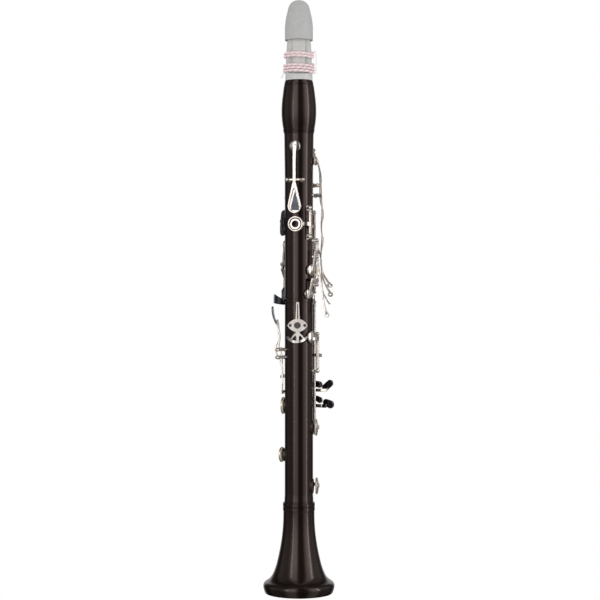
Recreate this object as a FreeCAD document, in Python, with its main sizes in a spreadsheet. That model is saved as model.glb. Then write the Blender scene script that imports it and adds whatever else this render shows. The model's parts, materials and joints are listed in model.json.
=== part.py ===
"""A Boehm clarinet in C, as a parametric FreeCAD document.

Millimetres. +Z runs up the bore from the bell's rim, where Z is 0, and the bore is the Z axis.
-Y is the player's side, with the thumb hole, and +X is the player's right hand side.

A place on a joint is given by an angle round the bore, in degrees, and a distance from it. The
angle is 0 towards -Y, 90 towards +X, 180 towards +Y and -90 towards -X. A piece that is flat, such
as a pad cup, is drawn in the frame of its angle: u along the tangent, v up the bore and w outward.
"""

import FreeCAD
import Part
import Sketcher
import math
import os

Vector = FreeCAD.Vector
UP = Vector(0, 0, 1)
ORIGIN = Vector(0, 0, 0)

# ---------------------------------------------------------------- driving dimensions

SIZES = {
    # lengths along the bore
    "bell_length": 88.0,
    "lower_joint_length": 198.5,
    "upper_joint_length": 160.5,
    "barrel_length": 51.5,
    "mouthpiece_length": 67.0,
    "tenon_length": 15.0,
    "bell_tenon_length": 17.0,
    # the wood
    "joint_radius": 13.8,
    "upper_top_radius": 14.4,
    "lower_foot_radius": 14.1,
    "joint_bead_radius": 14.2,
    "bore_radius": 7.25,
    "lower_bore_foot_radius": 9.4,
    "bell_rim_radius": 34.7,
    "bell_collar_radius": 15.6,
    "bell_socket_radius": 12.0,
    "barrel_belly_radius": 17.0,
    "barrel_top_radius": 13.5,
    "barrel_foot_radius": 14.6,
    "socket_radius": 11.25,
    "mouth_socket_radius": 11.0,
    # tenon corks
    "cork_gap": 0.05,
    "cork_thickness": 0.8,
    "cork_shoulder": 1.5,
    # mouthpiece, reed, cord and cap
    "shank_radius": 13.3,
    "neck_radius": 12.0,
    "tip_radius": 6.2,
    "table_depth": 7.6,
    "reed_length": 60.5,
    "reed_width": 12.0,
    "reed_thickness": 3.1,
    "cord_diameter": 2.6,
    "cap_length": 39.5,
    "cap_radius": 13.7,
    "cap_wall": 1.1,
    # keywork
    "player_turn": -13.0,
    "axle_radius": 18.2,
    "low_axle_radius": 18.5,
    "cross_axle_height": 17.4,
    "tube_radius": 1.6,
    "rod_radius": 0.9,
    "rod_clearance": 0.05,
    "post_ball_radius": 2.0,
    "post_stem_radius": 1.25,
    "post_collar_radius": 2.1,
    "post_collar_height": 0.7,
    "post_shank_radius": 1.1,
    "post_shank_length": 2.0,
    "end_gap": 0.2,
    "arm_thickness": 1.4,
    "arm_width": 3.0,
    "pad_thickness": 2.2,
    "pad_inset": 0.6,
    "cup_skirt": 1.2,
    "cup_dome": 1.2,
    "seat_height": 0.5,
    "seat_gap": 0.04,
    "seat_land": 1.3,
    "ring_bore_radius": 5.75,
    "ring_rim_radius": 7.5,
    "ring_height": 1.4,
    "chimney_radius": 5.2,
    "chimney_height": 2.4,
    "finger_hole_radius": 3.8,
    "thumb_bush_radius": 5.1,
    "thumb_hole_radius": 3.5,
    "spring_radius": 0.25,
    # thumb rest
    "thumb_rest_turn": -4.5,
    "rail_length": 37.0,
    "rail_width": 4.0,
    "rail_thickness": 1.7,
    "plate_width": 19.4,
    "plate_height": 12.4,
    "plate_thickness": 1.5,
    "shelf_depth": 14.0,
    "shelf_thickness": 2.2,
    "clamp_head_radius": 3.5,
}

doc = FreeCAD.newDocument("clarinet")
sheet = doc.addObject("Spreadsheet::Sheet", "sizes")


class Size(float):
    """A number that remembers the spreadsheet expression that it comes from."""

    def __new__(cls, value, text):
        made = float.__new__(cls, value)
        made.text = text
        return made

    def _joined(self, sign, other, value):
        return Size(value, "(%s %s %s)" % (self.text, sign, getattr(other, "text", repr(other))))

    def __add__(self, other):
        return self._joined("+", other, float(self) + float(other))

    def __sub__(self, other):
        return self._joined("-", other, float(self) - float(other))

    def __mul__(self, other):
        return self._joined("*", other, float(self) * float(other))


def fill_sheet():
    """Writes every driving dimension into its own cell, and returns them as Sizes by alias."""
    found = {}
    for row, (alias, value) in enumerate(SIZES.items(), start=1):
        sheet.set("A%d" % row, alias)
        sheet.set("B%d" % row, str(value))
        sheet.setAlias("B%d" % row, alias)
        found[alias] = Size(value, "sizes." + alias)
    doc.recompute()
    return found


S = fill_sheet()

# levels along the bore
BELL_TOP = S["bell_length"]
JOINT_LINE = BELL_TOP + S["lower_joint_length"]
BARREL_FOOT = JOINT_LINE + S["upper_joint_length"]
BARREL_TOP = BARREL_FOOT + S["barrel_length"]
TIP = BARREL_TOP + S["mouthpiece_length"]
BACK = float(S["player_turn"])
FRONT = BACK + 180.0

# every sub-part by its label, in the order in which it is made
sub_parts = {}


def keep(feature, label):
    """Names a document object as one of the clarinet's sub-parts."""
    feature.Label = label
    sub_parts[label] = feature
    return feature


# ---------------------------------------------------------------- directions and places


def outward(angle):
    """Unit vector from the bore towards an angle."""
    a = math.radians(angle)
    return Vector(math.sin(a), -math.cos(a), 0)


def tangent(angle):
    """Unit vector along which the angle grows."""
    a = math.radians(angle)
    return Vector(math.cos(a), math.sin(a), 0)


def polar(angle, radius, z):
    return outward(angle) * radius + UP * float(z)


def frame(angle, z=0.0):
    """Placement that takes (u, v, w) to the tangent, the bore and the outward direction of an angle."""
    t, d = tangent(angle), outward(angle)
    return FreeCAD.Placement(FreeCAD.Matrix(t.x, 0, d.x, 0, t.y, 0, d.y, 0, 0, 1, 0, float(z), 0, 0, 0, 1))


def along_bore(angle):
    """Placement that takes (x, y, z) to the bore, the outward direction and the tangent of an angle."""
    t, d = tangent(angle), outward(angle)
    return FreeCAD.Placement(FreeCAD.Matrix(0, d.x, t.x, 0, 0, d.y, t.y, 0, 1, 0, 0, 0, 0, 0, 0, 1))


def placed(shape, placement):
    moved = shape.copy()
    moved.Placement = placement.multiply(moved.Placement)
    return moved


def joined(pieces):
    """One solid from touching pieces."""
    whole = pieces[0].multiFuse(pieces[1:]) if len(pieces) > 1 else pieces[0]
    return whole.removeSplitter()


# ---------------------------------------------------------------- turned pieces, as PartDesign bodies


class Profile:
    """A closed sketch outline of lines and tangent arcs, each corner bound to the sheet."""

    def __init__(self, body, plane):
        self.sketch = body.newObject("Sketcher::SketchObject", "Outline")
        found = [f for f in body.Origin.OriginFeatures if f.Role == plane]
        self.sketch.AttachmentSupport = [(found[0], "")]
        self.sketch.MapMode = "FlatFace"
        self.edges = []

    def bind(self, edge, corner, across, up):
        """Fixes one corner at (across, up) from the sketch's origin."""
        for name, axis, size in (("DistanceX", -2, across), ("DistanceY", -1, up)):
            if abs(size) < 1e-9:
                self.sketch.addConstraint(Sketcher.Constraint("PointOnObject", edge, corner, axis))
                continue
            made = self.sketch.addConstraint(Sketcher.Constraint(name, -1, 1, edge, corner, float(size)))
            if hasattr(size, "text"):
                self.sketch.setExpression("Constraints[%d]" % made, size.text)

    def draw(self, corners):
        """Draws round the corners. A corner is (across, up), or (across, up, "arc") to reach it by an arc
        that leaves the edge before it without a kink."""
        points = [Vector(float(c[0]), float(c[1]), 0) for c in corners]
        heading = None
        for i, corner in enumerate(corners[1:] + corners[:1], start=1):
            start, end = points[i - 1], points[i % len(points)]
            chord = end - start
            if len(corner) == 3:
                side = Vector(-heading.y, heading.x, 0)
                radius = chord.dot(chord) / (2 * side.dot(chord))
                centre = start + side * radius
                first = math.atan2(start.y - centre.y, start.x - centre.x)
                last = math.atan2(end.y - centre.y, end.x - centre.x)
                anticlockwise = radius > 0
                low, high = (first, last) if anticlockwise else (last, first)
                circle = Part.Circle(centre, UP, abs(radius))
                edge = self.sketch.addGeometry(Part.ArcOfCircle(circle, low, high))
                begin, finish = (1, 2) if anticlockwise else (2, 1)
                turn = -1 if anticlockwise else 1
                spoke = end - centre
                heading = Vector(spoke.y * turn, -spoke.x * turn, 0).normalize()
            else:
                edge = self.sketch.addGeometry(Part.LineSegment(start, end))
                begin, finish = 1, 2
                heading = chord.normalize()
            self.edges.append((edge, begin, finish, len(corner) == 3))
        for i, (edge, begin, finish, curved) in enumerate(self.edges):
            before, _, before_end, _ = self.edges[i - 1]
            if curved:
                join = Sketcher.Constraint("Tangent", before, before_end, edge, begin)
            else:
                join = Sketcher.Constraint("Coincident", before, before_end, edge, begin)
            self.sketch.addConstraint(join)
        for (edge, begin, _, _), corner in zip(self.edges, corners):
            self.bind(edge, begin, corner[0], corner[1])
        return self.sketch


def turned(label, corners):
    """A PartDesign body turned round the bore from an outline of (radius, level) corners."""
    body = doc.addObject("PartDesign::Body", label)
    outline = Profile(body, "XZ_Plane").draw(corners)
    doc.recompute()
    turn = body.newObject("PartDesign::Revolution", "Turn")
    turn.Profile = outline
    turn.ReferenceAxis = (outline, ["V_Axis"])
    turn.Angle = 360
    outline.Visibility = False
    doc.recompute()
    return body


def tenon_steps(outer, foot, top):
    """The corners of a corked tenon's outside, from its foot to its top."""
    shoulder = S["cork_shoulder"]
    wood = outer - 0.1
    core = outer - S["cork_thickness"]
    return [
        (wood, foot),
        (wood, foot + shoulder),
        (core, foot + shoulder),
        (core, top - shoulder),
        (wood, top - shoulder),
        (wood, top),
    ]


def cork(label, outer, foot, top):
    """The cork sleeve that fills a tenon's groove."""
    shoulder = S["cork_shoulder"]
    core = outer - S["cork_thickness"]
    low, high = foot + shoulder, top - shoulder
    corners = [(core, low), (outer, low), (outer, high), (core, high)]
    return keep(turned(label, corners), label)


# ---------------------------------------------------------------- pieces of keywork, from Part's functions


def curve(points):
    """A smooth plane curve through points."""
    spline = Part.BSplineCurve()
    spline.interpolate([Vector(x, y, 0) for x, y in points])
    return spline


def ribbon(points, thickness, depth):
    """A strip of even thickness that follows plane points, with a depth along its own Z, centred."""
    middle = curve(points)
    stations = 4 * len(points)
    sides = {-1: [], 1: []}
    for i in range(stations + 1):
        at = middle.FirstParameter + (middle.LastParameter - middle.FirstParameter) * i / stations
        place, heading = middle.value(at), middle.tangent(at)[0]
        for side in sides:
            offset = Vector(-heading.y, heading.x, 0) * (side * thickness / 2)
            sides[side].append((place.x + offset.x, place.y + offset.y))
    left, right = curve(sides[1]).toShape(), curve(sides[-1]).toShape()
    ends = [
        Part.LineSegment(Vector(*sides[1][i], 0), Vector(*sides[-1][i], 0)).toShape()
        for i in (0, -1)
    ]
    face = Part.Face(Part.Wire([left, ends[1], right.reversed(), ends[0]]))
    return face.extrude(UP * depth).translated(UP * (-depth / 2))


def drop(first, first_radius, second, second_radius, depth):
    """A flat plate round two circles, one larger than the other if it is to be a teardrop."""
    a, b = Vector(*first, 0), Vector(*second, 0)
    gap = (b - a).Length
    lean = math.acos((first_radius - second_radius) / gap)
    heading = math.atan2(b.y - a.y, b.x - a.x)

    def on(centre, radius, angle):
        return centre + Vector(math.cos(angle), math.sin(angle), 0) * radius

    corners = [
        on(a, first_radius, heading + lean),
        on(b, second_radius, heading + lean),
        on(b, second_radius, heading - lean),
        on(a, first_radius, heading - lean),
    ]
    wire = Part.Wire([
        Part.LineSegment(corners[0], corners[1]).toShape(),
        Part.Arc(corners[1], on(b, second_radius, heading), corners[2]).toShape(),
        Part.LineSegment(corners[2], corners[3]).toShape(),
        Part.Arc(corners[3], on(a, first_radius, heading + math.pi), corners[0]).toShape(),
    ])
    return Part.Face(wire).extrude(UP * depth)


def plan(angle, drops):
    """The outline that a lever shows from outside: drops in (u, level), as deep as the keywork stands."""
    low, high = 6.0, 34.0
    plates = [drop(*d, high - low).translated(UP * low) for d in drops]
    return placed(joined(plates), frame(angle))


def lever(angle, side, drops, thickness=None):
    """A lever along the bore: side is its (level, height) line seen from the side, drops its outline."""
    thick = thickness or float(S["arm_thickness"])
    strip = placed(ribbon(side, thick, 40.0), along_bore(angle))
    return strip.common(plan(angle, drops))


def band(line, z, width, thickness=None):
    """An arm round the joint at one level: line is its (angle, radius) points."""
    thick = thickness or float(S["arm_thickness"])
    places = [polar(a, r, 0) for a, r in line]
    return ribbon([(p.x, p.y) for p in places], thick, width).translated(UP * float(z))


def curl(angle, z, height, width=4.0):
    """The rolled tip of a lever's touch: a small tube across the lever, at a height from the bore."""
    t = tangent(angle)
    foot = polar(angle, height, z) - t * (width / 2)
    return Part.makeCylinder(2.5, width, foot, t).cut(Part.makeCylinder(1.1, width, foot, t))


def long_tube(angle, radius, low, high):
    """A hinge tube along the bore, with a plain collar at each end."""
    outer, bore = float(S["tube_radius"]), float(S["rod_radius"] + S["rod_clearance"])
    foot = polar(angle, radius, low)
    length = high - low
    collars = [Part.makeCylinder(outer + 0.25, 0.8, foot + UP * rise) for rise in (0.4, length - 1.2)]
    whole = Part.makeCylinder(outer, length, foot).multiFuse(collars)
    return whole, Part.makeCylinder(bore, length + 2, foot - UP)


def cross_tube(angle, height, z, half, offset=0.0):
    """A hinge tube across the joint, centred offset along the tangent."""
    outer, bore = float(S["tube_radius"]), float(S["rod_radius"] + S["rod_clearance"])
    t = tangent(angle)
    foot = polar(angle, height, z) + t * (offset - half)
    whole = Part.makeCylinder(outer, 2 * half, foot, t)
    return whole, Part.makeCylinder(bore, 2 * half + 2, foot - t, t)


def cup(angle, z, radius, seat):
    """A pad cup over a seat at height seat: a short skirt under a shallow dome, hollow for its pad."""
    rim = seat + 0.9
    floor = seat + float(S["pad_thickness"])
    shoulder = rim + float(S["cup_skirt"])
    top = floor + float(S["cup_dome"])
    inner = radius - float(S["pad_inset"]) + 0.05
    knee = Vector(radius * 0.62, 0, top - 0.28 * (top - shoulder))
    wire = Part.Wire([
        Part.LineSegment(Vector(0, 0, floor), Vector(inner, 0, floor)).toShape(),
        Part.LineSegment(Vector(inner, 0, floor), Vector(inner, 0, rim)).toShape(),
        Part.LineSegment(Vector(inner, 0, rim), Vector(radius, 0, rim)).toShape(),
        Part.LineSegment(Vector(radius, 0, rim), Vector(radius, 0, shoulder)).toShape(),
        Part.Arc(Vector(radius, 0, shoulder), knee, Vector(0, 0, top)).toShape(),
        Part.LineSegment(Vector(0, 0, top), Vector(0, 0, floor)).toShape(),
    ])
    solid = Part.Face(wire).revolve(ORIGIN, UP, 360)
    return placed(solid, frame(angle, z))


def finger_ring(angle, z, top):
    """A finger ring whose upper face is level with top."""
    inner, outer = float(S["ring_bore_radius"]), float(S["ring_rim_radius"])
    height = float(S["ring_height"])
    ring = Part.makeCylinder(outer, height).cut(Part.makeCylinder(inner, height))
    ring = ring.makeFillet(0.45, [e for e in ring.Edges if e.Closed])
    return placed(ring.translated(UP * (top - height)), frame(angle, z))


def post(angle, radius, z, hole_direction):
    """A key post screwed into the wood, with a ball head drilled for a rod."""
    foot = float(S["joint_radius"]) - 0.3
    shank = float(S["post_shank_length"])
    collar = foot + 0.3 + float(S["post_collar_height"])
    stem = float(S["post_stem_radius"])
    d = outward(angle)
    pieces = [
        Part.makeCylinder(float(S["post_shank_radius"]), shank + 0.2, polar(angle, foot - shank, z), d),
        Part.makeCylinder(float(S["post_collar_radius"]), collar - foot, polar(angle, foot, z), d),
        Part.makeCone(stem + 0.35, stem, radius - collar, polar(angle, collar, z), d),
        Part.makeSphere(float(S["post_ball_radius"]), polar(angle, radius, z)),
    ]
    hole = Part.makeCylinder(
        float(S["rod_radius"]), 12, polar(angle, radius, z) - hole_direction * 6, hole_direction
    )
    return joined(pieces).cut(hole)


posts = {"upper_posts": [], "lower_posts": []}
rods = {"upper_rods": [], "lower_rods": []}
springs = []


def half_of(z):
    return "upper" if z > float(JOINT_LINE) else "lower"


def long_axle(angle, radius, post_levels):
    """A rod along the bore through a row of posts. Returns its length of tube between each pair."""
    where = half_of(post_levels[0])
    ball = float(S["post_ball_radius"])
    for z in post_levels:
        posts[where + "_posts"].append(post(angle, radius, z, UP))
    low, high = min(post_levels) - ball, max(post_levels) + ball
    rods[where + "_rods"].append(
        Part.makeCylinder(float(S["rod_radius"]), high - low, polar(angle, radius, low))
    )
    ends = sorted(post_levels)
    room = ball + float(S["end_gap"])
    return [(a + room, b - room) for a, b in zip(ends, ends[1:])]


def cross_axle(angle, height, z, half_span):
    """A rod across the joint between two posts. Returns half the length of tube between them."""
    where = half_of(z)
    ball = float(S["post_ball_radius"])
    lean = math.degrees(math.atan2(half_span, height))
    reach = math.hypot(half_span, height)
    t = tangent(angle)
    for side in (-1, 1):
        posts[where + "_posts"].append(post(angle + side * lean, reach, z, t))
    long = half_span + ball
    rods[where + "_rods"].append(
        Part.makeCylinder(float(S["rod_radius"]), 2 * long, polar(angle, height, z) - t * long, t)
    )
    return half_span - ball - float(S["end_gap"]) - 0.6


# ---------------------------------------------------------------- pads, seats and keys

seats = {"upper": [], "lower": []}
holes = {"upper": [], "lower": []}


def drill(where, angle, z, hole_radius, seat_radius, height):
    """A tone hole with a raised seat, each a cylinder of the document, for the joint to take."""
    for kind, radius, low, high, group in (
        ("Seat", seat_radius, 9.0 if float(seat_radius) > 6 else 11.4, height, seats),
        ("Hole", hole_radius, 3.0, height + 1.0, holes),
    ):
        made = doc.addObject("Part::Cylinder", kind)
        made.Placement = FreeCAD.Placement(
            polar(angle, low, z), FreeCAD.Rotation(UP, outward(angle))
        )
        if hasattr(radius, "text"):
            made.setExpression("Radius", radius.text)
        else:
            made.Radius = radius
        made.Height = high - low
        group[where].append(made)


def turned_about(axis_point, direction, angle, shape):
    moved = shape.copy()
    moved.rotate(axis_point, direction, angle)
    return moved


class Key:
    """One key: its solid is gathered from pieces, drawn with its pads closed and its rings down.

    hinge is (point, direction): turning by the right-hand rule about it presses the key.
    rest is how far the key stands open from there, in degrees.
    """

    def __init__(self, label, point, direction, rest=0.0):
        self.label, self.point, self.direction, self.rest = label, point, direction, rest
        self.pieces, self.bores, self.pads = [], [], []

    def tube(self, made):
        whole, bore = made
        self.pieces.append(whole)
        self.bores.append(bore)

    def add(self, *pieces):
        self.pieces.extend(pieces)

    def pad_over(self, where, angle, z, radius, hole_radius, seat=None):
        """A tone hole, its seat, the cup over it and the pad in the cup."""
        seat = seat or float(S["joint_radius"] + S["seat_height"])
        drill(where, angle, z, hole_radius, hole_radius + float(S["seat_land"]), seat)
        self.add(cup(angle, z, radius, seat))
        self.pads.append((angle, z, radius - float(S["pad_inset"]), seat + float(S["seat_gap"])))

    def finish(self):
        """Joins the pieces, bores the tubes and makes the key and its pad parts of the clarinet."""
        solid = joined(self.pieces)
        for bore in self.bores:
            solid = solid.cut(bore)
        for angle, z, radius, foot in self.pads:
            depth = float(S["pad_thickness"] - S["seat_gap"])
            room = Part.makeCylinder(radius, depth + 0.5, polar(angle, foot - 0.5, z), outward(angle))
            solid = solid.cut(room)
        solid = turned_about(self.point, self.direction, -self.rest, solid)
        feature = doc.addObject("Part::Feature", self.label)
        feature.Shape = solid
        keep(feature, self.label)
        for angle, z, radius, foot in self.pads:
            self.make_pad(angle, z, radius, foot)
        return feature

    def make_pad(self, angle, z, radius, foot):
        disc = doc.addObject("Part::Cylinder", "Disc")
        disc.Radius = radius
        disc.setExpression("Height", "sizes.pad_thickness - sizes.seat_gap")
        closed = FreeCAD.Placement(polar(angle, foot, z), FreeCAD.Rotation(UP, outward(angle)))
        swing = FreeCAD.Placement(ORIGIN, FreeCAD.Rotation(self.direction, -self.rest), self.point)
        disc.Placement = swing.multiply(closed)
        doc.recompute()
        pad = doc.addObject("Part::Fillet", "Pad")
        pad.Base = disc
        rims = [i for i, e in enumerate(disc.Shape.Edges, start=1) if e.Closed]
        lowest = min(rims, key=lambda i: (disc.Shape.Edges[i - 1].CenterOfMass - self.centre(disc)).Length)
        pad.Edges = [(lowest, 0.35, 0.35)]
        keep(pad, self.label.replace("_key", "_pad"))

    @staticmethod
    def centre(disc):
        return disc.Placement.Base


# ---------------------------------------------------------------- mouthpiece, reed, cord and cap


def cutting_prism(name, outline, half_width):
    """A prism across the instrument, from an outline of (y, z) corners, for cutting with."""
    points = [Vector(-half_width, y, float(z)) for y, z in outline]
    face = Part.Face(Part.makePolygon(points + points[:1]))
    made = doc.addObject("Part::Feature", name)
    made.Shape = face.extrude(Vector(2 * half_width, 0, 0))
    return made


def cut_from(base, tools, label):
    cut = doc.addObject("Part::Cut", "Cut")
    cut.Base = base
    if len(tools) > 1:
        fused = doc.addObject("Part::MultiFuse", "Tools")
        fused.Shapes = tools
        cut.Tool = fused
    else:
        cut.Tool = tools[0]
    return keep(cut, label) if label else cut


def make_mouthpiece():
    """A turned mouthpiece with its table, beak and window cut."""
    foot = BARREL_TOP - S["tenon_length"] + 0.2
    outer = S["mouth_socket_radius"] - S["cork_gap"]
    steps = tenon_steps(outer, foot, BARREL_TOP - 0.0)
    corners = [(7.4, foot)] + steps + [
        (S["shank_radius"], BARREL_TOP),
        (S["shank_radius"], BARREL_TOP + 4.0),
        (S["neck_radius"], BARREL_TOP + 33.0),
        (11.3, TIP - 27.0),
        (9.6, TIP - 12.0),
        (S["tip_radius"], TIP),
        (0, TIP),
        (0, TIP - 22.0),
        (5.4, TIP - 22.0),
    ]
    blank = turned("mouthpiece_blank", corners)
    table = float(S["table_depth"])
    tip = float(TIP)
    table_cut = cutting_prism(
        "Table", [(-20, BARREL_TOP + 4.5), (-table, BARREL_TOP + 6.5), (-table, tip + 1), (-20, tip + 1)], 20
    )
    beak_cut = cutting_prism("Beak", [(11.6, tip - 28), (2.4, tip - 15), (1.2 - table, tip + 0.2), (20, tip + 1)], 20)
    window_cut = cutting_prism(
        "Window", [(-table - 1, tip - 38), (-2, tip - 38), (-table + 2, tip - 5), (-table - 1, tip - 4)], 5.2
    )
    cut_from(blank, [table_cut, beak_cut, window_cut], "mouthpiece")

    reed_foot = TIP - S["reed_length"]
    stock = doc.addObject("Part::Cylinder", "Stock")
    stock.setExpression("Radius", "sizes.neck_radius - 0.1")
    stock.setExpression("Height", "sizes.reed_length")
    stock.Placement.Base = Vector(0, 0, float(reed_foot))
    half = float(S["reed_width"]) / 2
    heel = float(S["reed_thickness"])
    edge = float(S["neck_radius"]) + 1
    sides = [
        cutting_prism("Inside", [(-table, reed_foot - 1), (20, reed_foot - 1), (20, tip + 1), (-table, tip + 1)], 20),
        cutting_prism(
            "Vamp", [(-20, tip - 36), (-table - heel, tip - 36), (-table - 0.35, tip + 0.1), (-20, tip + 1)], 20
        ),
    ]
    for side in (-1, 1):
        wall = doc.addObject("Part::Box", "Side")
        wall.Length, wall.Width, wall.Height = 10, 2 * edge, float(S["reed_length"]) + 2
        wall.Placement.Base = Vector(half if side > 0 else -half - 10, -edge, float(reed_foot) - 1)
        sides.append(wall)
    cut_from(stock, sides, "reed")


def make_cap():
    """The slip-on cover of the mouthpiece, a thin shell closed at the top."""
    top = TIP + 12.0
    foot = top - S["cap_length"]
    outer = S["cap_radius"]
    wall = S["cap_wall"]
    corners = [
        (outer - wall, foot),
        (outer, foot),
        (outer, foot + 10.0),
        (outer - 1.8, foot + 25.0, "arc"),
        (outer - 3.4, top - 7.9),
        (2.5, top - 0.5, "arc"),
        (0, top),
        (0, top - 1.2),
        (5.0, top - 2.2),
        (9.5, top - 8.0),
        (outer - wall - 1.7, top - 14.5),
        (outer - wall, top - 29.5),
    ]
    keep(turned("mouthpiece_cap", corners), "mouthpiece_cap")


def make_cord():
    """The ligature: a cord wound round in two groups of turns, with one strand up the side."""
    half = S["cord_diameter"] * 0.5
    foot, top = float(BARREL_TOP) + 4.0, float(BARREL_TOP) + 33.0
    shank, neck = float(S["shank_radius"]), float(S["neck_radius"])
    pieces = []
    for level in (507.0, 510.3, 513.6, 521.6, 525.0):
        wood = shank + (neck - shank) * (level - foot) / (top - foot)
        turn = doc.addObject("Part::Torus", "Turn")
        turn.Radius1 = wood + float(half) + 0.08
        turn.setExpression("Radius2", half.text)
        turn.Placement.Base = Vector(0, 0, level)
        pieces.append(turn)
    strand = doc.addObject("Part::Cylinder", "Strand")
    strand.setExpression("Radius", half.text)
    strand.Height = 24.5
    strand.Placement.Base = polar(82.0, 17.2, 504.0)
    pieces.append(strand)
    cord = doc.addObject("Part::Compound", "Cord")
    cord.Links = pieces
    keep(cord, "ligature_cord")


# ---------------------------------------------------------------- the wooden pieces


def make_bell():
    socket_foot = BELL_TOP - S["bell_tenon_length"]
    rim = S["bell_rim_radius"]
    collar = S["bell_collar_radius"]
    corners = [
        (rim - 3.6, 0),
        (24.6, 8.0),
        (19.0, 20.0),
        (15.2, 36.0),
        (12.6, 54.0),
        (10.6, socket_foot),
        (S["bell_socket_radius"], socket_foot),
        (S["bell_socket_radius"], BELL_TOP),
        (collar - 0.4, BELL_TOP),
        (collar, BELL_TOP - 0.6),
        (collar, BELL_TOP - 3.4),
        (collar - 0.5, BELL_TOP - 3.8),
        (collar, BELL_TOP - 4.2),
        (collar, BELL_TOP - 7.6),
        (collar - 0.4, BELL_TOP - 8.2),
        (collar - 0.4, BELL_TOP - 12.0),
        (17.2, 50.0, "arc"),
        (21.5, 29.0, "arc"),
        (25.5, 18.0, "arc"),
        (rim - 2.5, 11.0, "arc"),
        (rim, 6.3, "arc"),
        (rim - 1.9, 0, "arc"),
    ]
    keep(turned("bell", corners), "bell")


def make_barrel():
    foot, top = BARREL_FOOT, BARREL_TOP
    belly = S["barrel_belly_radius"]
    corners = [
        (7.4, foot + 15.2),
        (S["socket_radius"], foot + 15.2),
        (S["socket_radius"], foot),
        (S["barrel_foot_radius"], foot),
        (15.5, foot + 3.6),
        (15.25, foot + 4.4),
        (15.55, foot + 6.0),
        (belly, foot + 20.5, "arc"),
        (belly - 0.7, foot + 34.0, "arc"),
        (belly - 2.1, foot + 45.0, "arc"),
        (belly - 2.3, foot + 46.5),
        (belly - 2.8, foot + 46.9),
        (belly - 2.6, foot + 48.2),
        (S["barrel_top_radius"], top),
        (S["mouth_socket_radius"], top),
        (S["mouth_socket_radius"], top - 15.0),
        (7.4, top - 15.0),
    ]
    keep(turned("barrel", corners), "barrel")


def make_joint_blanks():
    """The two joints as turned, before the keywork is mounted."""
    foot_tenon = S["bell_socket_radius"] - S["cork_gap"]
    joint_tenon = S["socket_radius"] - S["cork_gap"]
    radius, bead = S["joint_radius"], S["joint_bead_radius"]
    socket_foot = JOINT_LINE - S["tenon_length"]
    tenon_foot = BELL_TOP - S["bell_tenon_length"] + 0.2
    lower = [(S["lower_bore_foot_radius"], tenon_foot)]
    lower += tenon_steps(foot_tenon, tenon_foot, BELL_TOP)
    lower += [
        (S["lower_foot_radius"], BELL_TOP),
        (S["lower_foot_radius"], BELL_TOP + 2.0),
        (radius, BELL_TOP + 8.0),
        (radius, JOINT_LINE - 3.8),
        (bead, JOINT_LINE - 3.4),
        (bead, JOINT_LINE - 0.4),
        (bead - 0.4, JOINT_LINE),
        (S["socket_radius"], JOINT_LINE),
        (S["socket_radius"], socket_foot),
        (S["bore_radius"], socket_foot),
        (S["bore_radius"], 160.0),
    ]
    upper = [(S["bore_radius"], socket_foot + 0.2)]
    upper += tenon_steps(joint_tenon, socket_foot + 0.2, JOINT_LINE)
    upper += [
        (radius, JOINT_LINE),
        (radius, JOINT_LINE + 118.0),
        (S["upper_top_radius"], BARREL_FOOT - 0.3),
    ]
    upper += tenon_steps(joint_tenon, BARREL_FOOT - 0.3, BARREL_FOOT + 15.0)
    upper += [(S["bore_radius"], BARREL_FOOT + 15.0)]
    return turned("lower_joint_blank", lower), turned("upper_joint_blank", upper)


def make_corks():
    joint = S["socket_radius"] - S["cork_gap"]
    foot = S["bell_socket_radius"] - S["cork_gap"]
    mouth = S["mouth_socket_radius"] - S["cork_gap"]
    socket_foot = JOINT_LINE - S["tenon_length"]
    cork("mouthpiece_cork", mouth, BARREL_TOP - S["tenon_length"] + 0.2, BARREL_TOP)
    cork("upper_joint_top_cork", joint, BARREL_FOOT - 0.3, BARREL_FOOT + 15.0)
    cork("upper_joint_foot_cork", joint, socket_foot + 0.2, JOINT_LINE)
    cork("lower_joint_cork", foot, BELL_TOP - S["bell_tenon_length"] + 0.2, BELL_TOP)


def chimney(where, z, angle=FRONT):
    """A finger hole with its raised rim."""
    drill(where, angle, z, S["finger_hole_radius"], S["chimney_radius"],
          float(S["joint_radius"] + S["chimney_height"]))


def finish_joint(where, blank, label, extra_cuts):
    """Raises the seats on a joint, then cuts its tone holes and its posts' seats."""
    raised = doc.addObject("Part::MultiFuse", "Raised")
    raised.Shapes = [blank] + seats[where]
    return cut_from(raised, holes[where] + extra_cuts, label)


# ---------------------------------------------------------------- keywork of the upper joint


def make_register_key():
    half = cross_axle(BACK, float(S["cross_axle_height"]), 401.0, 8.0)
    key = Key("register_key", polar(BACK, float(S["cross_axle_height"]), 401.0), tangent(BACK))
    key.tube(cross_tube(BACK, float(S["cross_axle_height"]), 401.0, half))
    key.add(cup(BACK, 433.4, 5.3, 15.6))
    key.pads.append((BACK, 433.4, 5.3 - float(S["pad_inset"]), 15.64))
    drill("upper", BACK, 433.4, 2.3, 3.4, 14.6)
    key.add(lever(BACK, [(439, 18.7), (425, 19.4), (412, 19.7), (401, 19.4), (392, 19.2)],
                  [((0, 433.4), 1.5, (0, 397), 1.5)], 1.5))
    key.add(lever(BACK, [(402, 19.6), (392, 19.4), (380, 19.0), (368, 18.4), (362, 18.0)],
                  [((0, 375.3), 6.65, (0, 397), 1.9)], 2.4))
    hollow = lever(BACK, [(402, 20.4), (392, 20.2), (380, 19.8), (368, 19.2), (362, 18.8)],
                   [((0, 375.3), 5.3, (0, 391), 1.3)], 2.4)
    key.pieces[-1] = key.pieces[-1].cut(hollow)
    key.finish()


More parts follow.
